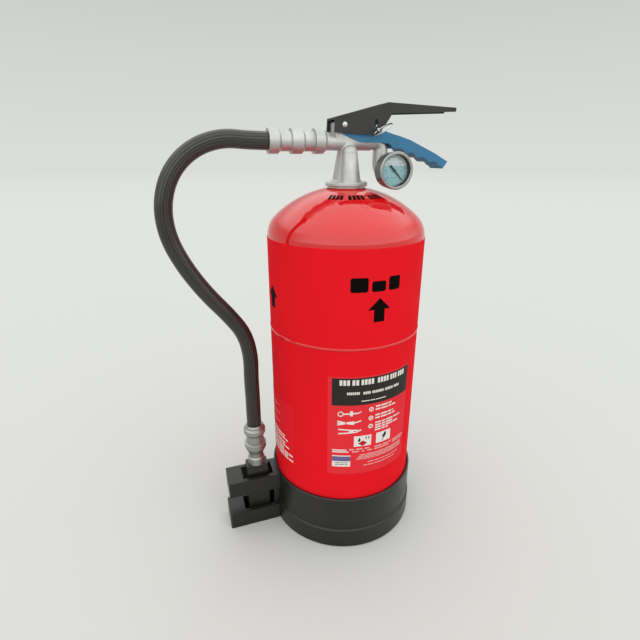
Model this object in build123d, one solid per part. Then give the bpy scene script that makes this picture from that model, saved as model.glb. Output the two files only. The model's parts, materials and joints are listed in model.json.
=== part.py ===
from build123d import *
import math
import os

# Portable stored-pressure fire extinguisher. Millimetres.
# Origin: centre of the base on the floor. +Z up, +X towards the tip of the levers,
# -X towards the hose and its nozzle holder, -Y is the front with gauge and label.

# ---------------------------------------------------------------- vessel
SHELL_R = 80.0            # outside radius of the steel vessel
SHELL_T = 1.6             # wall of the vessel
KNUCKLE_R = 26.5          # knuckle radius of the dished ends
CROWN_R = 105.0           # crown radius of the dished ends
DISH_BOTTOM_Z = 8.0       # lowest point of the vessel above the floor
GIRTH_Z = 240.0           # weld between the two halves of the body
DOME_Z = 335.0            # foot of the dome
DOME_INSET = 0.4          # the dome stands this far inside the body's edge
NECK_RING_R = 18.0
NECK_BORE_R = 15.0
NECK_TOP_Z = 381.9

# ---------------------------------------------------------------- boot and nozzle holder
BOOT_R = 84.7             # foot band of the boot
BOOT_UPPER_R = 83.3       # boot above the foot band
BOOT_LEDGE_Z = 23.6
BOOT_LEDGE_RISE = 0.3
BOOT_TOP_Z = 65.0
BOOT_BORE_R = SHELL_R + 0.1
BOOT_FLOOR_T = 3.5
BOOT_DRAINS = 4
DRAIN_R = 4.0
DRAIN_CIRCLE_R = 40.0
HOLDER_HALF_Y = 15.0
SLOT_HALF_Y = 10.5
SLOT_X = (-123.5, -88.5)
UPPER_LOOP = (-140.5, 44.4, 64.0)   # far face x, lower z, upper z
LOWER_LOOP = (-141.6, 0.0, 20.3)
HOLDER_FLOOR_T = 2.0

# ---------------------------------------------------------------- valve
TUBE_Z = 422.3            # axis of the outlet tube
TUBE_R = 8.0
OUTLET_BORE_R = 5.0
VALVE_X = (-22.4, 24.0)   # ends of the tube that belongs to the valve casting
FLANGE_R = 20.6
FLANGE_T = 4.1
SPIGOT_R = 14.95
SPIGOT_BOTTOM_Z = 362.0
LUG_X = (-14.0, 15.0)
LUG_HALF_Y = 8.0
LUG_TOP_Z = 440.5
PIVOT = (-7.0, 436.4)     # x, z of the lever's rivet
PIVOT_R = 2.0
STEM_R = 2.5
CHAMBER_R = 7.0
SEAT_Z = 400.0
RETAINER_Z = (379.0, 382.0)

# ---------------------------------------------------------------- levers and pin
LEVER_HALF_Y = 11.5
LEVER_T = 1.7
LEVER_WEB_T = 1.8
LEVER_TRAVEL = 15.0       # degrees
HANDLE_HALF_Y = 9.6       # cheeks of the carry handle, inside the lever
GRIP_HALF_Y = 11.5        # grip of the carry handle
CHEEK_INNER_Y = 8.1
HANDLE_RIVET = (10.5, 435.2)
HANDLE_RIVET_R = 1.5
PIN = (24.3, 431.9)       # x, z of the safety pin
PIN_R = 1.25
RING_R = 9.5
RING_WIRE_R = 0.65
RING_TILT = 33.0          # slope of the pull ring, degrees

# ---------------------------------------------------------------- hose
HOSE_R = 8.0
HOSE_BORE_R = 4.0
HOSE_X = -105.5           # the hose comes down here, above the nozzle
HOSE_END_Z = 114.0
FERRULE_TOP_Z = 128.7
UNION_TOP_Z = 106.0
COLLAR_TOP_Z = 86.5
NOZZLE_TOP_Z = 76.5
TAIL_R = 6.5              # shoulder of the lower hose tail
TAIL_Z = 98.0             # lower end of the lower hose tail
SOCKET_R = 6.0            # collar's end inside the nozzle
SOCKET_Z = 58.0
JET_R = 3.6
HOSE_ROUTE = [
    (-66.0, 422.3),
    (-91.0, 422.3),
    (-118.0, 424.8),
    (-144.0, 416.2),
    (-164.0, 397.0),
    (-174.0, 370.0),
    (-172.5, 340.5),
    (-160.0, 311.0),
    (-143.0, 284.0),
    (-124.0, 260.5),
    (-109.5, 238.5),
    (-104.5, 213.0),
    (-105.5, 186.5),
    (-105.2, 163.0),
    (-105.5, 138.5),
    (-105.5, 114.0),
]

# ---------------------------------------------------------------- gauge
GAUGE_X = 35.0
GAUGE_Z = 396.7
GAUGE_FRONT_Y = -37.8
GAUGE_BACK_Y = -21.8
BEZEL_R = 16.8
CASE_R = 15.9
ELBOW_R = 7.2
ELBOW_BEND_R = 7.6

# ---------------------------------------------------------------- labels
LABEL_T = 0.2
LABELS = {                # centre and half width in degrees round the body, low and high z
    "front_label": (271.5, 33.5, 97.5, 212.0),
    "side_label": (181.5, 28.0, 91.0, 165.0),
}

CLEAR = 0.06              # running clearance round pins and rivets


# ================================================================ helpers
def disc(r, z0, z1, x=0.0, y=0.0):
    """Upright cylinder."""
    return Pos(x, y, (z0 + z1) / 2) * Cylinder(r, z1 - z0)


def rod_x(r, x0, x1, z=TUBE_Z):
    """Cylinder along X in the valve's plane."""
    return Pos((x0 + x1) / 2, 0, z) * Rot(0, 90, 0) * Cylinder(r, x1 - x0)


def rod_y(r, y0, y1, x, z):
    """Cylinder along Y."""
    return Pos(x, (y0 + y1) / 2, z) * Rot(90, 0, 0) * Cylinder(r, y1 - y0)


def block(x0, x1, y0, y1, z0, z1):
    """Box between two corners."""
    centre = Pos((x0 + x1) / 2, (y0 + y1) / 2, (z0 + z1) / 2)
    return centre * Box(x1 - x0, y1 - y0, z1 - z0)


def turned(points):
    """Solid of revolution about Z from an outline of (radius, z)."""
    outline = Plane.XZ * Polyline(*points, close=True)
    return revolve(make_face(outline), Axis.Z)


def turned_x(points, z=TUBE_Z):
    """Solid of revolution about the outlet tube's axis from an outline of (x, radius)."""
    face = make_face(Plane.XZ * Polyline(*points, close=True))
    return Pos(0, 0, z) * revolve(face, Axis.X)


def turned_z(points, x):
    """Solid of revolution about an upright axis at x from an outline of (radius, z)."""
    return Pos(x, 0, 0) * turned(points)


def turned_y(points, x, z):
    """Solid of revolution about an axis along Y from an outline of (radius, y)."""
    face = make_face(Plane.XY * Polyline(*points, close=True))
    return Pos(x, 0, z) * revolve(face, Axis.Y)


def side_plate(points, half_y):
    """Outline of (x, z) points, as thick as 2 * half_y about the valve's plane."""
    face = make_face(Plane.XZ * Polyline(*points, close=True))
    return extrude(face, amount=half_y, both=True)


def write(name, shape):
    """Write one sub-part as a STEP file."""
    export_step(shape, f"parts/{name}.step")


# ================================================================ vessel
def dished_end(inset):
    """Filled dished end, standing on z = 0, its skin moved inwards by inset."""
    knuckle_x = SHELL_R - KNUCKLE_R
    drop = math.sqrt((CROWN_R - KNUCKLE_R) ** 2 - knuckle_x ** 2)
    join_angle = math.atan2(drop, knuckle_x)
    knuckle = KNUCKLE_R - inset
    crown = CROWN_R - inset

    def on_arc(cx, cz, r, angle):
        return (cx + r * math.cos(angle), cz + r * math.sin(angle))

    rim = (knuckle_x + knuckle, 0.0)
    join = on_arc(knuckle_x, 0.0, knuckle, join_angle)
    top = (0.0, crown - drop)
    edges = [
        Line((0.0, 0.0), rim),
        ThreePointArc(rim, on_arc(knuckle_x, 0.0, knuckle, join_angle / 2), join),
        ThreePointArc(join, on_arc(0.0, -drop, crown, (join_angle + math.pi / 2) / 2), top),
        Line(top, (0.0, 0.0)),
    ]
    return revolve(make_face(Plane.XZ * Wire(edges)), Axis.Z)


def dish_height():
    """Height of a dished end above its tangent line."""
    knuckle_x = SHELL_R - KNUCKLE_R
    return CROWN_R - math.sqrt((CROWN_R - KNUCKLE_R) ** 2 - knuckle_x ** 2)


BOTTOM_TANGENT_Z = DISH_BOTTOM_Z + dish_height()


def filled_lower(inset):
    """Lower half of the vessel as a filled body, its skin moved inwards by inset."""
    end = Pos(0, 0, BOTTOM_TANGENT_Z) * mirror(dished_end(inset), about=Plane.XY)
    return end + disc(SHELL_R - inset, BOTTOM_TANGENT_Z, GIRTH_Z)


def lower_shell():
    return filled_lower(0.0) - filled_lower(SHELL_T)


def upper_shell():
    tube = disc(SHELL_R, GIRTH_Z, DOME_Z) - disc(SHELL_R - SHELL_T, GIRTH_Z, DOME_Z)
    rim = tube.edges().filter_by(GeomType.CIRCLE).sort_by(Axis.Z)[-2:].sort_by(SortBy.RADIUS)[-1]
    return chamfer(rim, 0.4)


def dome():
    skin = dished_end(DOME_INSET) - dished_end(DOME_INSET + SHELL_T)
    return Pos(0, 0, DOME_Z) * skin - disc(NECK_RING_R, DOME_Z, DOME_Z + 2 * dish_height())


def girth_weld():
    """Ground-down weld bead round the middle of the body."""
    height, half_width = 0.6, 1.3
    return turned([
        (SHELL_R, GIRTH_Z - half_width),
        (SHELL_R + height, GIRTH_Z - half_width / 2),
        (SHELL_R + height, GIRTH_Z + half_width / 2),
        (SHELL_R, GIRTH_Z + half_width),
    ])


def neck_ring():
    """Threaded boss welded into the dome."""
    bottom = NECK_TOP_Z - 12.0
    return disc(NECK_RING_R, bottom, NECK_TOP_Z) - disc(NECK_BORE_R, bottom, NECK_TOP_Z)


def label(centre_angle, half_angle, z0, z1):
    """Sheet label round the lower half of the body."""
    outer = SHELL_R + LABEL_T
    sheet = disc(outer, z0, z1) - disc(SHELL_R, z0, z1)
    reach = 2 * outer
    half = math.radians(half_angle)
    wedge = make_face(Polyline(
        (0.0, 0.0),
        (reach * math.cos(half), -reach * math.sin(half)),
        (reach * math.cos(half), reach * math.sin(half)),
        close=True,
    ))
    wedge = Rot(0, 0, centre_angle) * extrude(wedge, amount=z1)
    return sheet & wedge


# ================================================================ boot and nozzle holder
def base_boot():
    """Moulded cup that the dished bottom sits in, with a ring of drain holes in its floor."""
    seat_inner, seat_outer = 56.0, 60.0
    outline = [
        (0.0, 0.0),
        (BOOT_R - 1.2, 0.0),
        (BOOT_R, 1.2),
        (BOOT_R, BOOT_LEDGE_Z - 1.3),
        (BOOT_R - 0.2, BOOT_LEDGE_Z - 0.9),
        (BOOT_UPPER_R + 0.2, BOOT_LEDGE_Z + 0.1),
        (BOOT_UPPER_R, BOOT_LEDGE_Z + BOOT_LEDGE_RISE),
        (BOOT_UPPER_R, BOOT_TOP_Z - 1.2),
        (BOOT_UPPER_R - 0.9, BOOT_TOP_Z),
        (BOOT_BORE_R + 1.2, BOOT_TOP_Z),
        (BOOT_BORE_R, BOOT_TOP_Z - 4.0),
        (BOOT_BORE_R, BOOT_FLOOR_T),
        (seat_outer, BOOT_FLOOR_T),
        (seat_outer, BOTTOM_TANGENT_Z),
        (seat_inner, BOTTOM_TANGENT_Z),
        (seat_inner, BOOT_FLOOR_T),
        (0.0, BOOT_FLOOR_T),
    ]
    vessel = Pos(0, 0, -0.1) * filled_lower(0.0)
    boot = turned(outline) - vessel
    for i in range(BOOT_DRAINS):
        angle = 2 * math.pi * (i + 0.5) / BOOT_DRAINS
        x, y = DRAIN_CIRCLE_R * math.cos(angle), DRAIN_CIRCLE_R * math.sin(angle)
        boot -= disc(DRAIN_R, 0.0, BOOT_FLOOR_T, x, y)
    return boot


def holder_loop(far_x, z0, z1):
    """One loop of the nozzle holder, open up and down."""
    loop = block(far_x, 0.0, -HOLDER_HALF_Y, HOLDER_HALF_Y, z0, z1)
    corners = loop.edges().filter_by(Axis.Z).sort_by(Axis.X)[:2]
    loop = chamfer(corners, 1.2)
    slot = block(SLOT_X[0], SLOT_X[1], -SLOT_HALF_Y, SLOT_HALF_Y, z0, z1)
    return loop - slot


def nozzle_holder():
    """Two loops and a web on the boot, with a floor under the lower loop."""
    upper = holder_loop(*UPPER_LOOP)
    lower = holder_loop(*LOWER_LOOP)
    floor = block(SLOT_X[0], SLOT_X[1], -SLOT_HALF_Y, SLOT_HALF_Y, 0.0, HOLDER_FLOOR_T)
    outlet = disc(6.0, 0.0, HOLDER_FLOOR_T, x=HOSE_X)
    web = block(SLOT_X[1], 0.0, -11.0, 11.0, LOWER_LOOP[2], UPPER_LOOP[1])
    holder = upper + lower + web + floor - outlet
    band_top = BOOT_LEDGE_Z + BOOT_LEDGE_RISE
    boot = disc(BOOT_R, 0.0, band_top) + disc(BOOT_UPPER_R, band_top, BOOT_TOP_Z)
    return holder - boot


# ================================================================ valve
def front_boss():
    """Rounded rib on the front of the valve neck, leaning back as it rises."""
    foot_z, top_z = NECK_TOP_Z + FLANGE_T, 412.0
    foot = Pos(0, -9.4, foot_z) * Circle(10.1)
    top = Pos(0, -6.3, top_z) * Circle(7.6)
    rib = loft([foot, top], ruled=True)
    return rib + Pos(0, -6.3, top_z) * Sphere(7.6)


def valve_casting():
    """Outside of the valve: spigot, flange, neck, tube and lug."""
    flange_top = NECK_TOP_Z + FLANGE_T
    turned_part = turned([
        (0.0, SPIGOT_BOTTOM_Z),
        (SPIGOT_R - 1.0, SPIGOT_BOTTOM_Z),
        (SPIGOT_R, SPIGOT_BOTTOM_Z + 1.0),
        (SPIGOT_R, NECK_TOP_Z),
        (FLANGE_R - 0.8, NECK_TOP_Z),
        (FLANGE_R, NECK_TOP_Z + 0.8),
        (FLANGE_R, flange_top - 1.2),
        (FLANGE_R - 1.2, flange_top),
        (15.6, flange_top),
        (13.7, flange_top + 2.2),
        (9.3, TUBE_Z - 8.0),
        (9.0, TUBE_Z),
        (0.0, TUBE_Z),
    ])
    tube = rod_x(TUBE_R, *VALVE_X)
    lug = block(LUG_X[0], LUG_X[1], -LUG_HALF_Y, LUG_HALF_Y, TUBE_Z, LUG_TOP_Z)
    shoulders = lug.edges().filter_by(Axis.Y).sort_by(Axis.Z)[-2:]
    lug = fillet(shoulders, 3.5)
    boss = front_boss() - disc(FLANGE_R, SPIGOT_BOTTOM_Z, NECK_TOP_Z + 0.1)
    return turned_part + boss + tube + lug


def valve_body():
    bores = [
        disc(CHAMBER_R, SPIGOT_BOTTOM_Z, SEAT_Z),
        disc(4.0, SEAT_Z, TUBE_Z),
        disc(STEM_R + CLEAR, TUBE_Z, LUG_TOP_Z),
        disc(4.3, 430.6, 432.6),
        rod_x(OUTLET_BORE_R, VALVE_X[0], 4.0),
        rod_x(6.5, VALVE_X[0], -14.0),
        rod_x(4.5, 18.0, VALVE_X[1]),
        rod_y(PIVOT_R + CLEAR, -LUG_HALF_Y, LUG_HALF_Y, *PIVOT),
        rod_y(HANDLE_RIVET_R + CLEAR, -LUG_HALF_Y, LUG_HALF_Y, *HANDLE_RIVET),
    ]
    body = valve_casting()
    for bore in bores:
        body -= bore
    groove = disc(SPIGOT_R + 1, 378.7, 381.1) - disc(12.9, 378.7, 381.1)
    return body - groove


def neck_oring():
    return Pos(0, 0, 379.9) * Torus(13.95, 1.04)


def stem_oring():
    return Pos(0, 0, 431.6) * Torus(3.42, 0.86)


def siphon_tube():
    """Dip tube, cut at a slant just above the dished bottom."""
    foot = DISH_BOTTOM_Z + SHELL_T + 2.0
    tube = disc(CHAMBER_R, foot, RETAINER_Z[0]) - disc(5.5, foot, RETAINER_Z[0])
    slant = Pos(0, 0, foot) * Rot(0, 40, 0) * Box(60, 40, 12)
    return tube - slant


def spring_retainer():
    return disc(CHAMBER_R, *RETAINER_Z) - disc(3.2, *RETAINER_Z)


def valve_stem():
    """Push rod with its poppet head; the lever presses its domed top."""
    top = 444.5
    head = disc(5.2, SEAT_Z - 4.6, SEAT_Z - 1.6)
    rod = disc(STEM_R, SEAT_Z - 1.6, top)
    crown = rod.edges().filter_by(GeomType.CIRCLE).sort_by(Axis.Z)[-1]
    return head + fillet(crown, 1.6)


def stem_seal():
    z0, z1 = SEAT_Z - 1.6, SEAT_Z - 0.05
    return disc(5.2, z0, z1) - disc(STEM_R, z0, z1)


def valve_spring():
    """Return spring between the retainer and the poppet head."""
    wire, mean, z0, z1 = 0.55, 4.4, RETAINER_Z[1], SEAT_Z - 4.6
    height = z1 - z0 - 2 * wire
    path = Pos(0, 0, z0 + wire) * Helix(pitch=height / 4.5, height=height, radius=mean)
    section = Plane(origin=path @ 0, z_dir=path % 0) * Circle(wire)
    return sweep(section, path=path)


# ================================================================ levers, rivets, pin
LEVER_TOP = [(-16.5, 442.4), (36.3, 456.2), (110.6, 453.7)]


def squeeze_lever():
    """Pressed channel, open downwards, that straddles the valve's lug."""
    outline = LEVER_TOP + [
        (111.6, 452.9),
        (110.4, 450.2),
        (39.6, 446.9),
        (39.4, 444.6),
        (33.7, 436.4),
        (26.6, 427.6),
        (-17.2, 429.7),
    ]
    plan = RectangleRounded(2 * 111.6, 2 * LEVER_HALF_Y, 3.0)
    channel = side_plate(outline, LEVER_HALF_Y) & extrude(plan, amount=500)
    inside = side_plate([
        (-30.0, 442.4 - LEVER_WEB_T * 1.035 - 13.5 * 0.2614),
        (36.2, 456.2 - LEVER_WEB_T * 1.03),
        (118.0, 453.7 - LEVER_WEB_T - 0.3),
        (118.0, 400.0),
        (-30.0, 400.0),
    ], LEVER_HALF_Y - LEVER_T)
    lever = channel - inside
    lever -= rod_y(PIVOT_R + CLEAR, -20, 20, *PIVOT)
    return lever - pin_slot()


def pin_slot():
    """Slot that lets the lever travel with the safety pin in its place."""
    dx, dz = PIN[0] - PIVOT[0], PIN[1] - PIVOT[1]
    radius = math.hypot(dx, dz)
    start = math.degrees(math.atan2(dz, dx))
    path = CenterArc((0, 0), radius, start, LEVER_TRAVEL + 0.3)
    outline = Plane.XZ * SlotArc(path, 2 * PIN_R + 0.4)
    return Pos(PIVOT[0], 0, PIVOT[1]) * extrude(outline, amount=20, both=True)


GRIP_LINE = [(36.0, 420.6), (98.0, 400.9)]   # line that the finger grooves follow
GRIP_WAVE = 1.15                             # depth of a groove either side of the line
GRIP_PITCH = 12.9


def grip_underside():
    """Points along the finger grooves, from the valve to the tip."""
    (x0, z0), (x1, z1) = GRIP_LINE
    steps = 32
    points = []
    for i in range(steps + 1):
        x = x0 + (x1 - x0) * i / steps
        wave = GRIP_WAVE * math.sin(2 * math.pi * (x - x0) / GRIP_PITCH)
        points.append((x, z0 + (z1 - z0) * i / steps + wave))
    return points


def carry_handle():
    """Fixed handle: two cheeks on the valve's lug and a grip with finger grooves."""
    grooves = Spline(*grip_underside())
    tip_low, tip_high, apex = (100.6, 397.4), (105.7, 404.1), (34.1, 431.9)
    rest = Polyline(
        grooves @ 1,
        tip_low,
        tip_high,
        (90.2, 411.9),
        (61.5, 424.0),
        apex,
        (28.6, 428.7),
        (28.6, 435.6),
        (20.8, 435.6),
        (18.2, 440.0),
        (-13.0, 440.0),
        (-13.0, 431.0),
        (0.6, 425.2),
        (8.8, 422.3),
        (15.0, 421.4),
        (33.2, 421.5),
        grooves @ 0,
    )
    face = make_face(Plane.XZ * Wire([grooves] + rest.edges()))
    handle = extrude(face, amount=GRIP_HALF_Y, both=True)
    for side in (-1, 1):
        handle -= side_relief(side)
    pocket = side_plate([
        (-20.0, 380.0),
        (44.5, 380.0),
        (44.5, 427.3),
        (34.0, 430.3),
        (32.0, 430.3),
        (32.0, 445.0),
        (-20.0, 445.0),
    ], CHEEK_INNER_Y)
    handle -= pocket
    for x, z, r in ((*PIVOT, PIVOT_R), (*HANDLE_RIVET, HANDLE_RIVET_R), (*PIN, PIN_R)):
        handle -= rod_y(r + CLEAR, -20, 20, x, z)
    return handle


def side_relief(side):
    """Material taken off one side, so that the cheeks fit inside the lever."""
    a, b = side * HANDLE_HALF_Y, side * (GRIP_HALF_Y + 1)
    edge = side * GRIP_HALF_Y
    face = make_face(Polyline((-30, a), (44.0, a), (50.0, edge), (50.0, b), (-30, b), close=True))
    return extrude(Pos(0, 0, 380) * face, amount=80)


def lever_rivet():
    """Round-headed rivet that the lever turns on."""
    inner, head_r, head_h = LEVER_HALF_Y + 0.1, 2.5, 1.0
    shank = rod_y(PIVOT_R, -inner, inner, *PIVOT)
    dome_r = (head_r ** 2 + head_h ** 2) / (2 * head_h)
    for side in (-1, 1):
        centre_y = side * (inner + head_h - dome_r)
        ball = Pos(PIVOT[0], centre_y, PIVOT[1]) * Sphere(dome_r)
        slab = rod_y(head_r, min(side * inner, side * (inner + head_h)),
                     max(side * inner, side * (inner + head_h)), *PIVOT)
        shank += ball & slab
    return shank


def handle_rivet():
    return rod_y(HANDLE_RIVET_R, -HANDLE_HALF_Y, HANDLE_HALF_Y, *HANDLE_RIVET)


def safety_pin():
    """Pin with an eye for the pull ring at its front end."""
    eye_y, eye_r, eye_t = -16.0, 2.1, 1.5
    shank = rod_y(PIN_R, eye_y + 1.6, 14.5, *PIN)
    far_end = shank.edges().filter_by(GeomType.CIRCLE).sort_by(Axis.Y)[-1]
    shank = chamfer(far_end, 0.5)
    turn = Pos(PIN[0], eye_y, PIN[1]) * Rot(0, 90 - RING_TILT, 0)
    return shank + turn * Cylinder(eye_r, eye_t) - turn * Cylinder(RING_WIRE_R + 0.4, 3 * eye_t)


def pull_ring():
    centre = Pos(PIN[0], -16.0 - RING_R, PIN[1])
    return centre * Rot(0, -RING_TILT, 0) * Torus(RING_R, RING_WIRE_R)


# ================================================================ hose and couplings
def banded_x(x0, x1, low, high):
    """Outline of a coupling piece: slim, with one raised band from low to high."""
    slim, band = 8.8, 11.1
    points = [(x0, 0.0), (x0, slim if low > x0 else band)]
    if low > x0:
        points += [(low, slim), (low, band)]
    points += [(high - 1.8, band), (high, band - 1.6), (high + 0.6, slim), (x1, slim), (x1, 0.0)]
    return turned_x(points)


def upper_ferrule():
    """Crimped sleeve on the hose's upper end."""
    sleeve = banded_x(-77.4, -65.4, -77.4, -66.6)
    return sleeve - rod_x(HOSE_R, -77.4, -66.0) - rod_x(6.5, -66.0, -65.4)


def union_nut():
    nut = banded_x(-65.4, -42.5, -56.1, -44.1)
    return nut - rod_x(6.5, -65.4, -42.5)


def outlet_adapter():
    """Adapter screwed into the valve's tube."""
    adapter = banded_x(-42.5, -22.4, -34.0, -23.4)
    spigot = rod_x(6.5, -22.4, -14.5)
    return adapter + spigot - rod_x(OUTLET_BORE_R, -42.5, -14.5)


def upper_hose_tail():
    """Insert inside the hose's upper end, held by the union nut."""
    tail = rod_x(HOSE_BORE_R, -78.0, -66.0) + rod_x(6.5, -66.0, -42.5)
    return tail - rod_x(2.8, -78.0, -42.5)


def hose_radii():
    """Arc radius at each corner of the hose's route."""
    points = [Vector(x, 0, z) for x, z in HOSE_ROUTE]
    radii = []
    for a, b, c in zip(points, points[1:], points[2:]):
        turn = math.radians((b - a).get_angle(c - b))
        shorter = min((b - a).length, (c - b).length)
        radii.append(0.45 * shorter / math.tan(turn / 2))
    return radii


def hose():
    radii = hose_radii()
    print("hose radii", [round(r, 1) for r in radii])
    path = FilletPolyline(*[(x, 0, z) for x, z in HOSE_ROUTE], radius=radii)
    ring = Circle(HOSE_R) - Circle(HOSE_BORE_R)
    section = Plane(origin=path @ 0, x_dir=(0, 1, 0), z_dir=path % 0) * ring
    tube = sweep(section, path=path)
    area = math.pi * (HOSE_R ** 2 - HOSE_BORE_R ** 2)
    print("hose length", round(path.length, 1), "volume ratio", round(tube.volume / (area * path.length), 4))
    return tube


def lower_ferrule():
    """Crimped sleeve on the hose's lower end, with a flange near its rim."""
    sleeve = turned_z([
        (0.0, UNION_TOP_Z), (9.7, UNION_TOP_Z), (9.7, 114.8), (11.7, 118.0), (12.0, 118.8),
        (12.0, 123.2), (11.7, 123.7), (10.3, 124.9), (10.0, 127.4),
        (9.2, FERRULE_TOP_Z), (0.0, FERRULE_TOP_Z),
    ], HOSE_X)
    hose_room = disc(HOSE_R + 0.03, HOSE_END_Z, FERRULE_TOP_Z, x=HOSE_X)
    return sleeve - hose_room - disc(TAIL_R, UNION_TOP_Z, HOSE_END_Z, x=HOSE_X)


def nozzle_union():
    """Union between the collar and the hose's sleeve: neck, cone and band."""
    body = turned_z([
        (0.0, COLLAR_TOP_Z), (8.0, COLLAR_TOP_Z), (8.3, 91.4), (11.6, 98.2), (11.9, 99.0),
        (11.9, 105.0), (11.6, 105.4), (9.9, UNION_TOP_Z), (0.0, UNION_TOP_Z),
    ], HOSE_X)
    return body - disc(TAIL_R, COLLAR_TOP_Z, UNION_TOP_Z, x=HOSE_X)


def lower_hose_tail():
    """Insert inside the hose's lower end, held by the union."""
    barb = disc(HOSE_BORE_R - 0.03, HOSE_END_Z, 127.0, x=HOSE_X)
    tail = barb + disc(TAIL_R, TAIL_Z, HOSE_END_Z, x=HOSE_X)
    return tail - disc(2.8, TAIL_Z, 127.0, x=HOSE_X)


def nozzle_collar():
    """Metal collar that joins the nozzle to the union."""
    collar = turned_z([
        (0.0, SOCKET_Z), (SOCKET_R, SOCKET_Z), (SOCKET_R, NOZZLE_TOP_Z), (9.0, NOZZLE_TOP_Z),
        (9.3, 77.2), (9.3, 84.9), (8.9, 85.5), (8.0, COLLAR_TOP_Z),
        (TAIL_R, COLLAR_TOP_Z), (TAIL_R, TAIL_Z), (0.0, TAIL_Z),
    ], HOSE_X)
    return collar - disc(JET_R, SOCKET_Z, TAIL_Z, x=HOSE_X)


def nozzle():
    """Moulded nozzle that stands in the two loops of the holder."""
    half_x, half_y, foot, shoulder, throat = 13.0, 8.8, 2.3, 68.0, 30.0
    body = Pos(HOSE_X, 0, (foot + shoulder) / 2) * Box(2 * half_x, 2 * half_y, shoulder - foot)
    body = fillet(body.edges().filter_by(Axis.Z), 2.0)
    base = Pos(HOSE_X, 0, shoulder) * RectangleRounded(2 * half_x, 2 * half_y, 2.0)
    crown = Pos(HOSE_X, 0, NOZZLE_TOP_Z) * RectangleRounded(24.4, 14.4, 2.0)
    body += loft([base, crown], ruled=True)
    body -= disc(SOCKET_R, SOCKET_Z, NOZZLE_TOP_Z, x=HOSE_X)
    body -= disc(JET_R, throat, SOCKET_Z, x=HOSE_X)
    return body - Pos(HOSE_X, 0, (foot + throat) / 2) * Cone(7.0, JET_R, throat - foot)


# ================================================================ gauge
def gauge_elbow():
    """Pipe from the end of the valve's tube down and forward to the gauge."""
    end_y = GAUGE_BACK_Y + 1.0
    path = FilletPolyline(
        (VALVE_X[1], 0, TUBE_Z),
        (GAUGE_X, 0, TUBE_Z),
        (GAUGE_X, 0, GAUGE_Z),
        (GAUGE_X, end_y, GAUGE_Z),
        radius=ELBOW_BEND_R,
    )
    outside = sweep(Plane(origin=path @ 0, z_dir=path % 0) * Circle(ELBOW_R), path=path)
    bore = sweep(Plane(origin=path @ 0, z_dir=path % 0) * Circle(2.5), path=path)
    spigot = rod_x(4.5, 18.0, VALVE_X[1]) - rod_x(2.5, 18.0, VALVE_X[1])
    socket = rod_y(4.0, end_y, end_y + 5.0, GAUGE_X, GAUGE_Z)
    return outside - bore + spigot - socket


def gauge_washer():
    back = GAUGE_BACK_Y
    return turned_y([(4.0, back), (6.6, back), (6.6, back + 1.0), (4.0, back + 1.0)], GAUGE_X, GAUGE_Z)


def gauge_case():
    back, front = GAUGE_BACK_Y, GAUGE_FRONT_Y + 1.6
    return turned_y([
        (4.0, back), (CASE_R - 1.2, back), (CASE_R, back - 1.2), (CASE_R, front),
        (CASE_R - 1.1, front), (CASE_R - 1.1, back - 1.2), (4.0, back - 1.2),
    ], GAUGE_X, GAUGE_Z)


def gauge_bezel():
    """Rolled ring that holds the lens on the case."""
    front = GAUGE_FRONT_Y
    return turned_y([
        (14.1, front + 0.5), (14.7, front), (BEZEL_R - 0.8, front), (BEZEL_R, front + 0.8),
        (BEZEL_R, front + 5.0), (CASE_R, front + 5.4), (CASE_R, front + 1.6), (14.1, front + 1.6),
    ], GAUGE_X, GAUGE_Z)


def gauge_lens():
    front = GAUGE_FRONT_Y + 1.6
    return rod_y(CASE_R - 1.1, front, front + 1.4, GAUGE_X, GAUGE_Z)


def lens_gasket():
    front = GAUGE_FRONT_Y + 3.0
    outer = CASE_R - 1.1
    return turned_y([(13.7, front), (outer, front), (outer, front + 0.9), (13.7, front + 0.9)],
                    GAUGE_X, GAUGE_Z)


def gauge_dial():
    y0 = GAUGE_FRONT_Y + 6.6
    plate = rod_y(CASE_R - 1.1, y0, y0 + 0.6, GAUGE_X, GAUGE_Z)
    return plate - rod_y(0.7, y0, y0 + 0.6, GAUGE_X, GAUGE_Z)


def gauge_needle():
    """Pointer with its tail and hub, at full pressure."""
    y0 = GAUGE_FRONT_Y + 5.1
    pointer = make_face(Plane.XZ * Polyline(
        (-6.4, 0.95), (-6.4, -0.95), (0.0, -0.75), (12.2, -0.22), (12.2, 0.22), (0.0, 0.75), close=True))
    blade = Pos(0, y0 + 0.4, 0) * extrude(pointer, amount=0.4)
    hub = Pos(0, y0 + 0.2, 0) * Rot(90, 0, 0) * Cylinder(1.3, 1.0)
    return Pos(GAUGE_X, 0, GAUGE_Z) * Rot(0, 45, 0) * (blade + hub)


def needle_spindle():
    front = GAUGE_FRONT_Y + 5.8
    return rod_y(0.6, front, front + 5.2, GAUGE_X, GAUGE_Z)


def gauge_stem():
    """Brass connection that carries the curved pressure tube."""
    neck = rod_y(4.0, GAUGE_BACK_Y - 1.2, GAUGE_BACK_Y + 6.0, GAUGE_X, GAUGE_Z)
    boss = rod_y(5.5, GAUGE_BACK_Y - 3.4, GAUGE_BACK_Y - 1.2, GAUGE_X, GAUGE_Z)
    arm = block(GAUGE_X - 2.5, GAUGE_X + 2.5, GAUGE_BACK_Y - 3.4, GAUGE_BACK_Y - 1.2,
                GAUGE_Z - 11.5, GAUGE_Z - 4.0)
    return neck + boss + arm - rod_y(1.2, GAUGE_BACK_Y - 2.4, GAUGE_BACK_Y + 6.0, GAUGE_X, GAUGE_Z)


def bourdon_tube():
    """Curved tube that straightens under pressure and turns the pointer."""
    y = GAUGE_BACK_Y - 4.6
    path = Pos(GAUGE_X, y, GAUGE_Z) * Rot(90, 0, 0) * CenterArc((0, 0), 10.2, -100, 265)
    section = Plane(origin=path @ 0, z_dir=path % 0) * Circle(1.2)
    return sweep(section, path=path)


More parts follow.
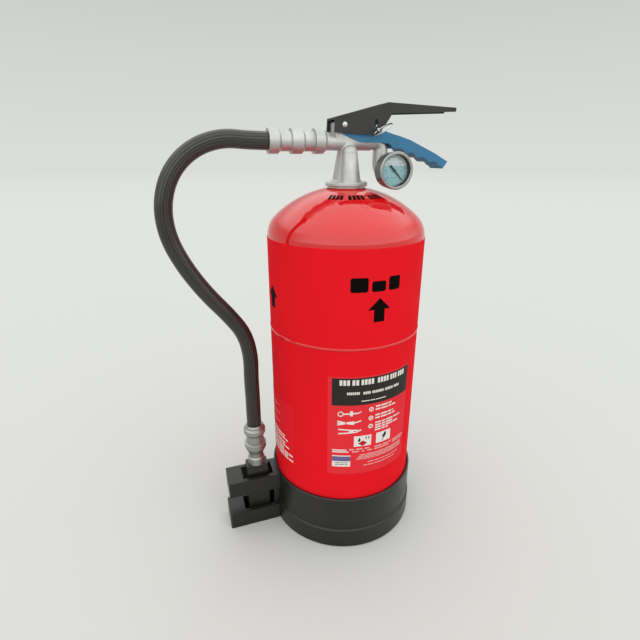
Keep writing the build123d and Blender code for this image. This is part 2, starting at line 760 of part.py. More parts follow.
# ================================================================ build
SUBPARTS = {
    "lower_shell": lower_shell,
    "upper_shell": upper_shell,
    "dome": dome,
    "girth_weld": girth_weld,
    "neck_ring": neck_ring,
    "base_boot": base_boot,
    "nozzle_holder": nozzle_holder,
    "valve_body": valve_body,
    "neck_oring": neck_oring,
    "stem_oring": stem_oring,
    "siphon_tube": siphon_tube,
    "spring_retainer": spring_retainer,
    "valve_stem": valve_stem,
    "stem_seal": stem_seal,
    "valve_spring": valve_spring,
    "squeeze_lever": squeeze_lever,
    "carry_handle": carry_handle,
    "lever_rivet": lever_rivet,
    "handle_rivet": handle_rivet,
    "safety_pin": safety_pin,
    "pull_ring": pull_ring,
    "upper_ferrule": upper_ferrule,
    "union_nut": union_nut,
    "outlet_adapter": outlet_adapter,
    "upper_hose_tail": upper_hose_tail,
    "hose": hose,
    "lower_ferrule": lower_ferrule,
    "nozzle_union": nozzle_union,
    "lower_hose_tail": lower_hose_tail,
    "nozzle_collar": nozzle_collar,
    "nozzle": nozzle,
    "gauge_elbow": gauge_elbow,
    "gauge_washer": gauge_washer,
    "gauge_case": gauge_case,
    "gauge_bezel": gauge_bezel,
    "gauge_lens": gauge_lens,
    "lens_gasket": lens_gasket,
    "gauge_dial": gauge_dial,
    "gauge_needle": gauge_needle,
    "needle_spindle": needle_spindle,
    "gauge_stem": gauge_stem,
    "bourdon_tube": bourdon_tube,
}

os.makedirs("parts", exist_ok=True)
for node, make in SUBPARTS.items():
    write(node, make())
for node, place in LABELS.items():
    write(node, label(*place))
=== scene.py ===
import json
import math
import bmesh
import bpy
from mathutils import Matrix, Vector


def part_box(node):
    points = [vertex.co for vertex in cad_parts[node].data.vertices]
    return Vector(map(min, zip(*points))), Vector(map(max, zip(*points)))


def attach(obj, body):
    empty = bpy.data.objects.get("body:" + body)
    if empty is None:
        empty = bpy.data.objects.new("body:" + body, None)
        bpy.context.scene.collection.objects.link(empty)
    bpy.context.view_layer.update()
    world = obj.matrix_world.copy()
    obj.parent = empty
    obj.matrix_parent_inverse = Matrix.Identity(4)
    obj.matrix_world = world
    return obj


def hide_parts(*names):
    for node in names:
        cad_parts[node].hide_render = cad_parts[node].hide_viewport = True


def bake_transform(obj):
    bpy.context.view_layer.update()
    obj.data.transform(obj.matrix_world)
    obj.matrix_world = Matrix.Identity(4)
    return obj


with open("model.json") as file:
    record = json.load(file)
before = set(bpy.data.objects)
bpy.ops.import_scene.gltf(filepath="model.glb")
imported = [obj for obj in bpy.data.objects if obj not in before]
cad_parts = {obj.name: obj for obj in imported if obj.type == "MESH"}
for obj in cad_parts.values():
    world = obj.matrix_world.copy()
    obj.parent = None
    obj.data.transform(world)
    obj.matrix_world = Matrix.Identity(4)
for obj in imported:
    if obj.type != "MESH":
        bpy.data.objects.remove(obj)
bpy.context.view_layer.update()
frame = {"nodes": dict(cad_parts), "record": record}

# Looks of the portable fire extinguisher. Metres, in the frame of the CAD model:
# +Z up, +X towards the tips of the levers, -X towards the hose, -Y the front.

MM = 0.001


# ================================================================ camera
CAMERA_PLACE = (-0.1670, -0.4133, 0.4105)
CAMERA_TURN = (69.0414, 0.0, -18.665)     # degrees about X, Y and Z
CAMERA_LENS = 24.2508                     # millimetres, on a film of this width:
CAMERA_FILM = 36.0


def make_camera():
    data = bpy.data.cameras.new("camera")
    data.sensor_width = CAMERA_FILM
    data.lens = CAMERA_LENS
    data.clip_start = 0.02
    data.clip_end = 100.0
    camera = bpy.data.objects.new("camera", data)
    bpy.context.scene.collection.objects.link(camera)
    camera.location = CAMERA_PLACE
    camera.rotation_euler = [math.radians(angle) for angle in CAMERA_TURN]
    bpy.context.scene.camera = camera


make_camera()


# ================================================================ small helpers
def from_bmesh(name, bm, material, smooth=True):
    """Turn a bmesh into a linked object of this name, with one material."""
    bmesh.ops.recalc_face_normals(bm, faces=bm.faces)
    mesh = bpy.data.meshes.new(name)
    bm.to_mesh(mesh)
    bm.free()
    obj = bpy.data.objects.new(name, mesh)
    bpy.context.scene.collection.objects.link(obj)
    mesh.materials.append(material)
    for face in mesh.polygons:
        face.use_smooth = smooth
    return obj


def round_points(radius, count):
    """Evenly spaced (x, y) points of a circle about the origin."""
    angles = [2 * math.pi * k / count for k in range(count)]
    return [(radius * math.cos(angle), radius * math.sin(angle)) for angle in angles]


def map_range(nodes, links, value, low, high, to_low, to_high):
    """Node output that runs from to_low to to_high while the value runs from low to high."""
    node = nodes.new("ShaderNodeMapRange")
    for name, number in zip(("From Min", "From Max", "To Min", "To Max"), (low, high, to_low, to_high)):
        node.inputs[name].default_value = number
    links.new(value, node.inputs["Value"])
    return node.outputs["Result"]


def combine(nodes, links, operation, first, second):
    """Node output of a sum, product or the like of two others."""
    node = nodes.new("ShaderNodeMath")
    node.operation = operation
    links.new(first, node.inputs[0])
    links.new(second, node.inputs[1])
    return node.outputs["Value"]


# ================================================================ materials
class Surface:
    """A principled material with procedural nodes on top, built step by step."""

    def __init__(self, name, colour, roughness, metallic=0.0, ior=1.5):
        self.material = bpy.data.materials.new(name)
        self.material.use_nodes = True
        self.nodes = self.material.node_tree.nodes
        self.links = self.material.node_tree.links
        self.shader = self.nodes["Principled BSDF"]
        self.shader.inputs["Base Color"].default_value = (*colour, 1.0)
        self.shader.inputs["Roughness"].default_value = roughness
        self.shader.inputs["Metallic"].default_value = metallic
        self.shader.inputs["IOR"].default_value = ior
        self.colour = colour
        self.roughness = roughness
        self.place = self.nodes.new("ShaderNodeTexCoord").outputs["Object"]

    def scaled(self, scale):
        """Object coordinates stretched by three factors."""
        mapping = self.nodes.new("ShaderNodeMapping")
        mapping.inputs["Scale"].default_value = scale
        self.links.new(self.place, mapping.inputs["Vector"])
        return mapping.outputs["Vector"]

    def noise(self, scale, detail=3.0, stretch=(1.0, 1.0, 1.0)):
        """Factor of a noise in object coordinates, finer with a larger scale."""
        node = self.nodes.new("ShaderNodeTexNoise")
        node.inputs["Scale"].default_value = scale
        node.inputs["Detail"].default_value = detail
        self.links.new(self.scaled(stretch), node.inputs["Vector"])
        return node.outputs["Fac"]

    def ramp(self, value, low, high, to_low, to_high):
        return map_range(self.nodes, self.links, value, low, high, to_low, to_high)

    def mottle(self, factor, other, low=0.35, high=0.65):
        """Mix the base colour with another where the factor is high."""
        mix = self.nodes.new("ShaderNodeMix")
        mix.data_type = "RGBA"
        mix.inputs["A"].default_value = (*self.colour, 1.0)
        mix.inputs["B"].default_value = (*other, 1.0)
        self.links.new(self.ramp(factor, low, high, 0.0, 1.0), mix.inputs["Factor"])
        self.links.new(mix.outputs["Result"], self.shader.inputs["Base Color"])
        return self

    def rough_spread(self, factor, spread):
        """Let the roughness wander by this much either way."""
        low, high = self.roughness - spread, self.roughness + spread
        self.links.new(self.ramp(factor, 0.3, 0.7, low, high), self.shader.inputs["Roughness"])
        return self

    def bump(self, factor, distance):
        """Raise the surface by the factor times a distance in metres."""
        node = self.nodes.new("ShaderNodeBump")
        node.inputs["Strength"].default_value = 1.0
        node.inputs["Distance"].default_value = distance
        self.links.new(factor, node.inputs["Height"])
        self.links.new(node.outputs["Normal"], self.shader.inputs["Normal"])
        return self


def paint(name, colour, roughness, ior, ripple):
    """Sprayed enamel: a faint ripple, slightly uneven gloss and tone."""
    s = Surface(name, colour, roughness, ior=ior)
    s.mottle(s.noise(9.0), tuple(c * 0.93 for c in colour))
    s.rough_spread(s.noise(35.0), roughness * 0.15)
    s.bump(s.noise(420.0, 2.0), ripple)
    return s.material


def moulded(name, colour, roughness, grain, worn, ior=1.5):
    """Moulded plastic with a fine grain and a paler, drier tone in patches."""
    s = Surface(name, colour, roughness, ior=ior)
    s.mottle(s.noise(28.0, 5.0), worn, 0.45, 0.8)
    s.rough_spread(s.noise(60.0), 0.06)
    s.bump(s.noise(2600.0, 2.0), grain)
    return s.material


def metal(name, colour, roughness, grain, scale, stretch=(1.0, 1.0, 1.0)):
    """Bare metal with grain or turning marks."""
    s = Surface(name, colour, roughness, metallic=1.0)
    s.mottle(s.noise(40.0, 4.0), tuple(c * 0.9 for c in colour))
    s.rough_spread(s.noise(90.0, 3.0), roughness * 0.2)
    s.bump(s.noise(scale, 3.0, stretch), grain)
    return s.material


def glass(name, colour):
    """Thin clear glass: the view goes straight through, with a gloss that grows at the edges."""
    ior = 1.45
    s = Surface(name, colour, 0.02, ior=ior)
    s.rough_spread(s.noise(120.0), 0.01)
    clear = s.nodes.new("ShaderNodeBsdfTransparent")
    clear.inputs["Color"].default_value = (*colour, 1.0)
    gloss = s.nodes.new("ShaderNodeBsdfGlossy")
    gloss.inputs["Roughness"].default_value = 0.03
    edge = s.nodes.new("ShaderNodeFresnel")
    edge.inputs["IOR"].default_value = ior
    mix = s.nodes.new("ShaderNodeMixShader")
    s.links.new(edge.outputs["Fac"], mix.inputs[0])
    s.links.new(clear.outputs["BSDF"], mix.inputs[1])
    s.links.new(gloss.outputs["BSDF"], mix.inputs[2])
    s.links.new(mix.outputs["Shader"], s.nodes["Material Output"].inputs["Surface"])
    s.nodes.remove(s.shader)
    return s.material


def ink(name, colour, roughness=0.5, ior=1.2):
    """Printed ink, with almost no ripple."""
    return paint(name, colour, roughness, ior, 0.000004)


MATERIALS = {
    "red_paint": paint("red_paint", (0.64, 0.0084, 0.0150), 0.7, 1.08, 0.00003),
    "red_gloss": paint("red_gloss", (0.53, 0.004, 0.006), 0.05, 1.63, 0.000004),
    "bare_steel": metal("bare_steel", (0.45, 0.45, 0.45), 0.3, 0.00002, 300.0, (1, 1, 8)),
    "black_plastic": moulded(
        "black_plastic", (0.0065, 0.006, 0.0052), 0.34, 0.00002, (0.010, 0.0095, 0.009), 1.45),
    "cast_silver": metal("cast_silver", (0.54, 0.54, 0.535), 0.55, 0.00002, 1500.0),
    "coupling_silver": metal("coupling_silver", (0.49, 0.49, 0.49), 0.5, 0.00001, 900.0),
    "fitting_grey": metal("fitting_grey", (0.37, 0.365, 0.35), 0.46, 0.00001, 900.0),
    "seal_rubber": moulded("seal_rubber", (0.014, 0.014, 0.014), 0.6, 0.00002, (0.02, 0.02, 0.02)),
    "white_plastic": moulded("white_plastic", (0.62, 0.62, 0.60), 0.4, 0.00002, (0.58, 0.58, 0.55)),
    "brass": metal("brass", (0.52, 0.36, 0.15), 0.25, 0.00001, 600.0),
    "blue_plastic": moulded(
        "blue_plastic", (0.043, 0.153, 0.272), 0.5, 0.00002, (0.047, 0.160, 0.280), 1.2),
    "rivet_steel": metal("rivet_steel", (0.50, 0.50, 0.50), 0.16, 0.000004, 900.0),
    "gauge_steel": metal("gauge_steel", (0.34, 0.34, 0.335), 0.30, 0.000006, 700.0),
    "lens_glass": glass("lens_glass", (0.97, 0.99, 0.99)),
    "dial_face": moulded("dial_face", (0.92, 0.94, 0.96), 0.5, 0.000004, (0.90, 0.92, 0.94)),
    "label_sheet": paint("label_sheet", (0.62, 0.027, 0.036), 0.6, 1.1, 0.000006),
    "dark_lever": paint("dark_lever", (0.026, 0.0265, 0.0245), 0.6, 1.4, 0.00002),
    "needle_black": paint("needle_black", (0.006, 0.006, 0.006), 0.4, 1.3, 0.000004),
    "hose_rubber": moulded(
        "hose_rubber", (0.0075, 0.0055, 0.0052), 0.24, 0.00001, (0.009, 0.007, 0.0065), 1.6),
}
PRINT_WHITE = ink("print_white", (0.63, 0.58, 0.55))
SIDE_SHEET = paint("side_label_sheet", (0.63, 0.0125, 0.0205), 0.65, 1.08, 0.000006)
PRINT_FAINT = ink("print_faint", (0.62, 0.055, 0.062))
PRINT_PALE = ink("print_pale", (0.60, 0.31, 0.30))
PRINT_BLACK = ink("print_black", (0.021, 0.019, 0.0165))
PRINT_DARK = ink("print_dark", (0.003, 0.0022, 0.0018), 0.6, 1.1)
PRINT_BLUE = ink("print_blue", (0.115, 0.095, 0.21))
PRINT_RED = ink("print_red", (0.36, 0.011, 0.014))
DIAL_BLUE = ink("dial_blue", (0.45, 0.75, 0.81))


def dress_frame():
    """Give each CAD node the material of its slot; the weld is glossier and the side label duller."""
    for part in frame["record"]["subparts"]:
        obj = frame["nodes"][part["node"]]
        obj.data.materials.clear()
        obj.data.materials.append(MATERIALS[part["material_slot"]])
    frame["nodes"]["girth_weld"].data.materials[0] = MATERIALS["red_gloss"]
    frame["nodes"]["side_label"].data.materials[0] = SIDE_SHEET


# ================================================================ hose
HOSE_D = 0.016
HOSE_RIBS = 18
HOSE_SKIN = 0.00005       # how far the ribs stay inside the hose's diameter
GROOVE_DEPTH = 0.0008
GROOVE_PROFILE = (        # over one rib: part of the rib's pitch, part of the groove's depth
    (0.0, 1.0), (0.07, 0.15), (0.14, 0.0), (0.32, 0.0),
    (0.5, 0.0), (0.68, 0.0), (0.86, 0.0), (0.93, 0.15),
)
HOSE_ROUTE = [
    (-0.0660, 0.0, 0.4223),
    (-0.0910, 0.0, 0.4223),
    (-0.1180, 0.0, 0.4248),
    (-0.1440, 0.0, 0.4162),
    (-0.1640, 0.0, 0.3970),
    (-0.1740, 0.0, 0.3700),
    (-0.1725, 0.0, 0.3405),
    (-0.1600, 0.0, 0.3110),
    (-0.1430, 0.0, 0.2840),
    (-0.1240, 0.0, 0.2605),
    (-0.1095, 0.0, 0.2385),
    (-0.1045, 0.0, 0.2130),
    (-0.1055, 0.0, 0.1865),
    (-0.1052, 0.0, 0.1630),
    (-0.1055, 0.0, 0.1385),
    (-0.1055, 0.0, 0.1140),
]


def route_line(points, steps):
    """Points read from the NURBS spline that has the route as its control points."""
    curve = bpy.data.curves.new("route", "CURVE")
    curve.dimensions = "3D"
    curve.resolution_u = steps
    spline = curve.splines.new("NURBS")
    spline.points.add(len(points) - 1)
    for point, place in zip(spline.points, points):
        point.co = (*place, 1.0)
    spline.order_u = 3
    spline.use_endpoint_u = True
    holder = bpy.data.objects.new("route", curve)
    mesh = bpy.data.meshes.new_from_object(holder)
    line = [v.co.copy() for v in mesh.vertices]
    bpy.data.objects.remove(holder)
    bpy.data.curves.remove(curve)
    bpy.data.meshes.remove(mesh)
    return line


def hose_section():
    """Cross-section of the hose: flat ribs with narrow grooves, as (angle, radius) pairs."""
    outer = HOSE_D / 2 - HOSE_SKIN
    section = []
    for k in range(HOSE_RIBS):
        for along, sunk in GROOVE_PROFILE:
            section.append((2 * math.pi * (k + along) / HOSE_RIBS, outer - GROOVE_DEPTH * sunk))
    return section


def swept(line, section):
    """Closed bmesh of a section of (angle, radius) pairs carried along a line in the X-Z plane."""
    bm = bmesh.new()
    side = Vector((0.0, 1.0, 0.0))
    rings = []
    for i, centre in enumerate(line):
        ahead = (line[min(i + 1, len(line) - 1)] - line[max(i - 1, 0)]).normalized()
        up = ahead.cross(side).normalized()
        spread = [r * (math.cos(a) * side + math.sin(a) * up) for a, r in section]
        rings.append([bm.verts.new(centre + offset) for offset in spread])
    count = len(section)
    for a, b in zip(rings, rings[1:]):
        for k in range(count):
            bm.faces.new((a[k], a[(k + 1) % count], b[(k + 1) % count], b[k]))
    bm.faces.new(rings[0])
    bm.faces.new(list(reversed(rings[-1])))
    return bm


def make_hose():
    """Ribbed hose from the upper ferrule to the nozzle, in place of the CAD hose."""
    line = route_line(HOSE_ROUTE, 10)
    hose = from_bmesh("ribbed_hose", swept(line, hose_section()), MATERIALS["hose_rubber"])
    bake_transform(hose)
    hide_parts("hose")


make_hose()
dress_frame()

# ================================================================ printed marks
# Outlines are lists of (u, v) points in millimetres: u runs round or across the surface,
# v runs up. On the body and its labels v is the height above the floor.
BODY_R = 0.0800
LABEL_R = 0.0802
INK_T = 0.00008
STEP_U = 0.0025           # longest flat stretch of a mark round the body
FRONT_DEG = 271.5         # degrees round the body where u is 0 for the front marks
SIDE_DEG = 181.5          # and for the side marks
BLOCK_FILL = 0.74         # part of its step that an upright block takes
SHORTEST_BAR = 0.3        # a row's last bar is left out where less than this part of it fits


def rectangle(u0, u1, v0, v1):
    return [(u0, v0), (u1, v0), (u1, v1), (u0, v1)]


def rounded(u0, u1, v0, v1, r, steps=4):
    """Rectangle with round corners."""
    points = []
    corners = ((u1 - r, v1 - r, 0), (u0 + r, v1 - r, 90), (u0 + r, v0 + r, 180), (u1 - r, v0 + r, 270))
    for cu, cv, start in corners:
        for k in range(steps + 1):
            a = math.radians(start + 90 * k / steps)
            points.append((cu + r * math.cos(a), cv + r * math.sin(a)))
    return points


def circle(cu, cv, r, steps=12):
    return [(cu + u, cv + v) for u, v in round_points(r, steps)]


def stroke(u0, v0, u1, v1, width):
    """Straight line with a width."""
    length = math.hypot(u1 - u0, v1 - v0)
    nu, nv = -(v1 - v0) / length * width / 2, (u1 - u0) / length * width / 2
    return [(u0 + nu, v0 + nv), (u0 - nu, v0 - nv), (u1 - nu, v1 - nv), (u1 + nu, v1 + nv)]


def words(u0, u1, v, height, widths, gap):
    """Row of plain bars in place of words, repeated until the row is full."""
    shapes, u, k = [], u0, 0
    while u < u1 - SHORTEST_BAR * widths[k % len(widths)]:
        end = min(u + widths[k % len(widths)], u1)
        shapes.append(rectangle(u, end, v, v + height))
        u = end + gap
        k += 1
    return shapes


def lettered(bars, pitch=0.62):
    """Split plain bars into rows of upright blocks, a block for every so much of the height."""
    blocks = []
    for (u0, v0), (u1, _), (_, v1), _ in bars:
        height = v1 - v0
        count = max(1, round((u1 - u0) / (pitch * height)))
        step = (u1 - u0) / count
        blocks += [rectangle(u0 + k * step, u0 + (k + BLOCK_FILL) * step, v0, v1) for k in range(count)]
    return blocks


def wrapped(radius, centre_deg):
    """Maps (u, v, height) in millimetres round an upright cylinder to a point in metres."""
    def place(u, v, t):
        angle = math.radians(centre_deg) + u * MM / radius
        r = radius + t
        return Vector((r * math.cos(angle), r * math.sin(angle), v * MM))
    return place


def marks(name, shapes, material, place, base=0.0):
    """Thin printed shapes, laid on a surface by the place function."""
    bm = bmesh.new()
    for outline in shapes:
        flat = bmesh.new()
        face = flat.faces.new([flat.verts.new((u, v, 0.0)) for u, v in outline])
        bmesh.ops.triangulate(flat, faces=[face])
        low = min(u for u, _ in outline)
        high = max(u for u, _ in outline)
        cuts = int((high - low) * MM / STEP_U)
        for k in range(1, cuts + 1):
            u = low + (high - low) * k / (cuts + 1)
            geom = flat.verts[:] + flat.edges[:] + flat.faces[:]
            bmesh.ops.bisect_plane(flat, geom=geom, plane_co=(u, 0, 0), plane_no=(1, 0, 0))
        solid = bmesh.ops.extrude_face_region(flat, geom=flat.faces[:])
        for v in solid["geom"]:
            if isinstance(v, bmesh.types.BMVert):
                v.co.z = 1.0
        copies = {v: bm.verts.new(place(v.co.x, v.co.y, base + v.co.z * INK_T)) for v in flat.verts}
        for f in flat.faces:
            bm.faces.new([copies[v] for v in f.verts])
        flat.free()
    piece = from_bmesh(name, bm, material, smooth=False)
    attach(piece, "extinguisher")
    return piece


def ring_parts(cu, cv, outer, inner, steps=20):
    """Ring as separate four-sided pieces, so that each is a plain outline."""
    outside, inside = circle(cu, cv, outer, steps), circle(cu, cv, inner, steps)
    parts = []
    for k in range(steps):
        after = (k + 1) % steps
        parts.append([outside[k], outside[after], inside[after], inside[k]])
    return parts


def pin_symbol(u, v):
    """A ring drawn off a pin."""
    return [
        stroke(u + 6.0, v, u + 21.0, v + 0.6, 1.5),
        rectangle(u + 12.5, u + 15.5, v - 2.4, v + 3.4),
        *ring_parts(u + 3.2, v, 3.0, 2.0),
        stroke(u + 21, v + 0.6, u + 24.0, v + 2.2, 1.0),
    ]


def aim_symbol(u, v):
    """A nozzle and its spray."""
    spray = [stroke(u + 9.0, v + 0.4 * k, u + 1.0, v + 1.3 * k, 0.8) for k in (-2, -1, 0, 1, 2)]
    nozzle = [(u + 10.0, v - 1.0), (u + 18.0, v - 2.2), (u + 18.0, v + 2.2), (u + 10.0, v + 1.0)]
    return spray + [nozzle, stroke(u + 18.0, v, u + 25.0, v + 2.0, 1.4)]


def squeeze_symbol(u, v):
    """Two levers brought together."""
    return [
        stroke(u + 1.0, v + 2.6, u + 21.0, v + 1.0, 1.4),
        stroke(u + 1.0, v - 2.6, u + 21.0, v - 0.8, 1.4),
        rectangle(u + 12.0, u + 16.5, v - 1.6, v + 1.8),
        stroke(u + 21.0, v, u + 24.5, v + 1.2, 1.6),
    ]


def label_white():
    """Bars, symbols and boxes printed white on the label."""
    shapes = lettered(words(-35.4, -0.3, 203.0, 5.8, (11.0, 7.5, 14.0), 1.4))
    shapes += lettered(words(2.9, 38.5, 203.0, 5.8, (13.5, 9.0, 10.5), 1.4))
    shapes += lettered(words(-27.9, -14.0, 192.6, 2.9, (13.0,), 1.0))
    shapes += lettered(words(-11.8, 30.8, 192.4, 2.9, (8.0, 13.0, 10.0), 1.4))
    shapes += words(-13.6, 16.2, 184.5, 0.9, (9.0, 5.0, 12.0), 0.6)
    shapes += pin_symbol(-37.0, 171.0) + aim_symbol(-38.0, 160.5) + squeeze_symbol(-37.0, 150.5)
    for v in (174.2, 164.0, 154.4):
        shapes += ring_parts(-2.6, v, 2.6, 1.6)
        shapes.append(circle(-2.6, v, 0.8))
    for v, end in ((175.6, 24.0), (172.2, 27.0), (165.6, 24.5), (162.2, 27.2)):
        shapes += words(2.2, end, v, 1.7, (5.5, 8.0, 4.0), 1.0)
    for v, end in ((156.6, 35.4), (153.6, 25.0), (150.8, 33.5), (147.9, 18.8)):
        shapes += words(2.4, end, v, 1.6, (7.0, 4.0, 9.0), 1.0)
    shapes.append(rectangle(-19.7, -1.2, 131.7, 144.3))
    shapes.append(rectangle(4.4, 22.5, 131.7, 144.3))
    shapes += words(-41.9, -27.2, 127.2, 1.4, (15.0,), 1.0)
    shapes += words(-41.9, -25.0, 124.9, 1.4, (17.0,), 1.0)
    shapes.append(rectangle(-41.8, -22.8, 107.2, 114.0))
    shapes.append(rectangle(-41.8, -22.8, 120.0, 121.2))
    return shapes


def label_pale():
    """Fine rows of bars that read as small print."""
    shapes = words(-24.4, 0.5, 127.6, 1.5, (5.0, 7.0), 2.2)
    shapes += words(-21.5, 0.2, 124.8, 1.5, (7.5, 2.5), 3.2)
    shapes += words(2.9, 24.4, 126.9, 1.6, (9.0, 6.0), 1.6)
    shapes += words(2.9, 22.0, 124.5, 1.3, (19.0,), 1.0)
    shapes += words(26.5, 45.0, 127.0, 1.5, (18.0,), 1.0)
    shapes += words(26.5, 43.0, 124.6, 1.3, (9.0, 6.0), 1.0)
    for k in range(4):
        shapes += words(-13.0 - 1.2 * k, 41.0, 120.4 - 1.75 * k, 0.95, (6.0, 9.0, 4.0, 7.5), 0.7)
    shapes += words(-4.0, 36.0, 110.2, 0.95, (8.0, 5.0, 6.5), 0.7)
    shapes += words(-9.0, 31.0, 106.6, 0.95, (5.0, 7.0, 9.0), 0.7)
    return shapes


def label_black():
    """Dark shapes inside the white squares, and bars in the white field below the blue one."""
    flame = [(-15.6, 139.0), (-14.0, 142.6), (-12.6, 139.6), (-13.4, 137.6), (-15.0, 137.4)]
    bolt = [
        (14.6, 142.8), (11.0, 137.6), (13.4, 137.6), (11.6, 133.2),
        (16.4, 138.9), (13.9, 138.9), (16.6, 142.8),
    ]
    shapes = [flame, bolt, rectangle(-7.4, -6.4, 139.6, 143.0), rectangle(-4.4, -3.4, 139.6, 143.0)]
    shapes += words(-38.5, -25.5, 111.8, 0.6, (5.0, 3.0), 0.8)
    shapes += words(-38.5, -25.5, 109.6, 0.6, (3.0, 6.0), 0.8)
    return shapes


def up_arrow(u):
    """Plain upward arrow, in place of the mark on the body."""
    foot, neck, top, half_stem, half_head = 267.0, 279.0, 290.0, 5.4, 11.4
    return [
        (u, top), (u - half_head, neck), (u - half_stem, neck), (u - half_stem, foot),
        (u + half_stem, foot), (u + half_stem, neck), (u + half_head, neck),
    ]


def print_front():
    """Front label, and the blocks and arrow on the body above it."""
    on_label = wrapped(LABEL_R, FRONT_DEG)
    on_body = wrapped(BODY_R, FRONT_DEG)
    marks("front_label_header", [rectangle(-42.8, 46.2, 180.6, 210.6)], PRINT_BLACK, on_label)
    marks("front_label_white", label_white(), PRINT_WHITE, on_label, INK_T)
    marks("front_label_small_print", label_pale(), PRINT_PALE, on_label)
    marks("front_label_blue", [rectangle(-41.8, -22.8, 114.0, 120.0)], PRINT_BLUE, on_label)
    diamond = [(-10.4, 131.9), (-5.6, 135.2), (-10.4, 138.5), (-15.2, 135.2)]
    marks("front_label_red", [diamond], PRINT_RED, on_label, 2 * INK_T)
    marks("front_label_black", label_black(), PRINT_BLACK, on_label, 2 * INK_T)
    blocks = [
        rounded(-27.3, -11.0, 296.2, 309.6, 2.0),
        rounded(-7.6, 6.2, 296.2, 306.0, 2.0),
        rounded(9.4, 21.8, 296.2, 309.2, 2.0),
    ]
    marks("front_body_marks", blocks + [up_arrow(0.8)], PRINT_DARK, on_body)


def print_side():
    """Smaller label of rows and symbols on the hose side, and an arrow above it."""
    on_label = wrapped(LABEL_R, SIDE_DEG)
    on_body = wrapped(BODY_R, SIDE_DEG)
    rows = []
    for v, end in ((120.4, 26.0), (116.8, 28.0), (111.4, 27.0), (107.8, 30.0)):
        rows += words(-24.0, end, v, 1.9, (9.0, 6.0, 12.0), 1.2)
    for v, end in ((103.6, 22.0), (100.4, 36.0), (97.2, 30.0), (94.0, 36.5)):
        rows += words(-24.0, end, v, 1.9, (12.0, 7.0, 9.0), 1.2)
    for v in (119.6, 110.6, 99.6):
        rows += ring_parts(-29.0, v, 2.6, 1.6)
    marks("side_label_rows", rows, PRINT_WHITE, on_label)
    symbols = pin_symbol(-12.0, 154.0) + aim_symbol(-12.0, 144.0) + squeeze_symbol(-12.0, 134.0)
    marks("side_label_symbols", symbols, PRINT_FAINT, on_label)
    marks("side_body_mark", [up_arrow(5.3)], PRINT_DARK, on_body)


print_front()
print_side()

# ================================================================ dome marks
CROWN_R = 0.1046                   # outside of the dome's crown
CROWN_CENTRE_Z = 0.27755
DOME_LEAN = math.radians(22.4)     # of the marks' middle, from the vessel's axis
DOME_SIDE = math.radians(264.0)    # of the marks' middle, round the axis


def on_dome(u, v, t):
    """Place a mark on the crown of the dome: u round it and v up it, from the marks' middle."""
    radius = CROWN_R + t
    lean = DOME_LEAN - v * MM / CROWN_R
    around = DOME_SIDE + u * MM / (CROWN_R * math.sin(DOME_LEAN))
    out = radius * math.sin(lean)
    up = CROWN_CENTRE_Z + radius * math.cos(lean)
    return Vector((out * math.cos(around), out * math.sin(around), up))


def print_dome():
    """Three words' worth of upright blocks on the dome."""
    bars = [rectangle(u0, u1, -4.2, 4.2) for u0, u1 in ((-27.0, -13.0), (-9.0, 6.5), (10.5, 27.0))]
    marks("dome_marks", lettered(bars, 0.45), PRINT_DARK, on_dome)


print_dome()

# ================================================================ gauge dial
DIAL_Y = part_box("gauge_dial")[0].y     # metres; the front face of the dial
GAUGE_X = 35.0            # millimetres, like the rest of the dial's sizes
GAUGE_Z = 396.7
DIAL_R = 14.6             # of the blue field and of the ring of painted shadow round the dial's edge
SHADOW_RING_IN = 13.7
FIELD_TOP = 4.3           # the blue field fills the dial below this height
FIELD_STEPS = 40
SCALE_START = 225         # degrees; the scale runs clockwise from here
SCALE_SPAN = 270
SCALE_IN, SCALE_OUT = 12.0, 12.2
TICKS = 40
SCALE_STEPS = 54
NUMBERS_R = 8.6


def on_dial(u, v, t):
    return Vector(((GAUGE_X + u) * MM, DIAL_Y - t, (GAUGE_Z + v) * MM))


def polar(radius, angle):
    return radius * math.cos(angle), radius * math.sin(angle)


def dial_field():
    """Lower part of a disc, cut off level at the top."""
    start = math.asin(FIELD_TOP / DIAL_R)
    span = math.pi + 2 * start
    return [polar(DIAL_R, start - span * k / FIELD_STEPS) for k in range(FIELD_STEPS + 1)]


def dial_ticks():
    """Tick marks of the scale, longer at every fourth and longest at every eighth."""
    ticks = []
    for k in range(TICKS + 1):
        angle = math.radians(SCALE_START - SCALE_SPAN * k / TICKS)
        inner = 10.2 if k % 8 == 0 else 10.9 if k % 4 == 0 else 11.3
        width = 0.34 if k % 8 == 0 else 0.2
        ticks.append(stroke(*polar(inner, angle), *polar(SCALE_IN, angle), width))
    return ticks


def dial_arc():
    """Thin line that the ticks hang from, in short pieces."""
    ends = [math.radians(SCALE_START - SCALE_SPAN * k / SCALE_STEPS) for k in range(SCALE_STEPS + 1)]
    return [[polar(SCALE_OUT, a), polar(SCALE_OUT, b), polar(SCALE_IN, b), polar(SCALE_IN, a)]
            for a, b in zip(ends, ends[1:])]


def dial_numbers():
    """Small blocks in place of the scale's numbers and its unit."""
    blocks = []
    for degrees in (225, 180, 135, 45, 0, -45):
        u, v = polar(NUMBERS_R, math.radians(degrees))
        blocks.append(rectangle(u - 0.5, u + 0.5, v - 0.3, v + 0.3))
    return blocks + [rectangle(-2.2, -0.4, -6.2, -5.8), rectangle(0.4, 2.2, -6.2, -5.8)]


def print_dial():
    """Blue lower field, scale and numbers of the gauge, and a dark ring of painted shadow at the dial's
    edge.
    """
    marks("dial_blue_field", [dial_field()], DIAL_BLUE, on_dial)
    # Painted shadow: a dark ring at the dial's edge, in place of the shade the bezel casts there; it is
    # printed with the ticks.
    painted_shadow_ring = ring_parts(0.0, 0.0, DIAL_R, SHADOW_RING_IN, 48)
    ticks = dial_ticks() + dial_arc() + dial_numbers() + painted_shadow_ring
    marks("dial_ticks", ticks, PRINT_BLACK, on_dial, INK_T)


print_dial()


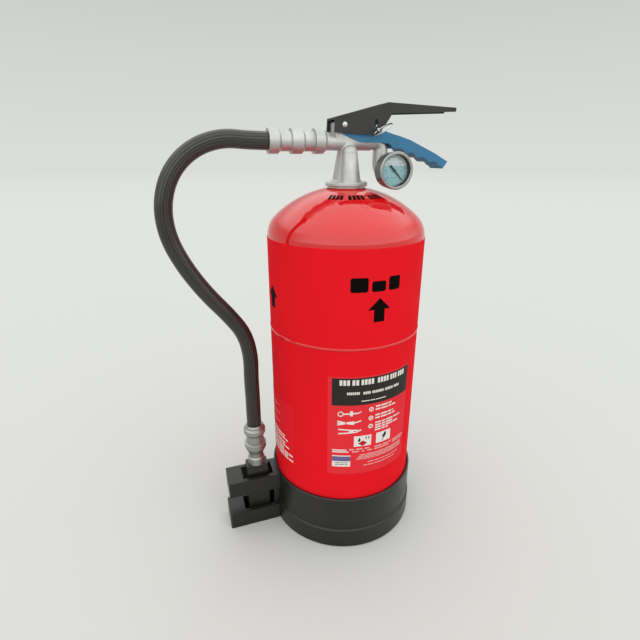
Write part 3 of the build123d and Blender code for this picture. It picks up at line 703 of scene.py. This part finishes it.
# ================================================================ floor, world and lights
GLOW = 2.8                # how much brighter the ceiling and front are than the backdrop
FLOOR_RADII = (0.5, 1.5, 4.0, 9.0, 24.0)
FLOOR_SIDES = 64
FLOOR_COLOUR = (0.474, 0.468, 0.463)
FLOOR_FAR_COLOUR = (0.434, 0.433, 0.428)
BACKDROP_LOW = (0.700, 0.722, 0.700, 1)
BACKDROP_MIDDLE = (0.638, 0.658, 0.638, 1)
BACKDROP_HIGH = (0.582, 0.602, 0.582, 1)


def make_floor():
    """Wide pale floor, a little darker far away."""
    bm = bmesh.new()
    rings = [[bm.verts.new((x, y, 0.0)) for x, y in round_points(r, FLOOR_SIDES)] for r in FLOOR_RADII]
    centre = bm.verts.new((0.0, 0.0, 0.0))
    for k in range(FLOOR_SIDES):
        after = (k + 1) % FLOOR_SIDES
        bm.faces.new((centre, rings[0][k], rings[0][after]))
        for a, b in zip(rings, rings[1:]):
            bm.faces.new((a[k], b[k], b[after], a[after]))
    s = Surface("floor", FLOOR_COLOUR, 0.9, ior=1.05)
    reach = s.nodes.new("ShaderNodeVectorMath")
    reach.operation = "LENGTH"
    s.links.new(s.place, reach.inputs[0])
    s.mottle(reach.outputs["Value"], FLOOR_FAR_COLOUR, 3.5, 13.0)
    s.bump(s.noise(40.0), 0.00002)
    floor = from_bmesh("floor", bm, s.material)


def make_world():
    """Pale studio surround, darker higher up, with a bright soft ceiling and front."""
    world = bpy.data.worlds.new("studio")
    bpy.context.scene.world = world
    world.use_nodes = True
    nodes, links = world.node_tree.nodes, world.node_tree.links
    place = nodes.new("ShaderNodeTexCoord")
    split = nodes.new("ShaderNodeSeparateXYZ")
    ramp = nodes.new("ShaderNodeValToRGB")
    links.new(place.outputs["Generated"], split.inputs["Vector"])
    links.new(map_range(nodes, links, split.outputs["Z"], 0.0, 0.35, 0.0, 1.0), ramp.inputs["Fac"])
    stops = ramp.color_ramp.elements
    stops[0].color = BACKDROP_LOW
    stops[1].position = 0.82
    stops[1].color = BACKDROP_HIGH
    stops.new(0.5).color = BACKDROP_MIDDLE
    links.new(ramp.outputs["Color"], nodes["Background"].inputs["Color"])
    ceiling = map_range(nodes, links, split.outputs["Z"], 0.32, 0.55, 0.0, 1.0)
    front = map_range(nodes, links, split.outputs["Y"], 0.30, -0.25, 0.0, 1.0)
    above_floor = map_range(nodes, links, split.outputs["Z"], 0.0, 0.10, 0.0, 1.0)
    front = combine(nodes, links, "MULTIPLY", front, above_floor)
    glow = combine(nodes, links, "MAXIMUM", ceiling, front)
    links.new(map_range(nodes, links, glow, 0.0, 1.0, 1.0, GLOW), nodes["Background"].inputs["Strength"])


def make_light():
    """One very broad, soft light from above and a little in front."""
    data = bpy.data.lights.new("sky_glow", "SUN")
    data.angle = math.radians(110.0)
    data.energy = 0.25
    light = bpy.data.objects.new("sky_glow", data)
    bpy.context.scene.collection.objects.link(light)
    light.rotation_euler = (math.radians(28.0), 0.0, math.radians(-20.0))
    light.visible_glossy = False


make_floor()
make_world()
make_light()
bpy.context.scene.view_settings.view_transform = "Standard"
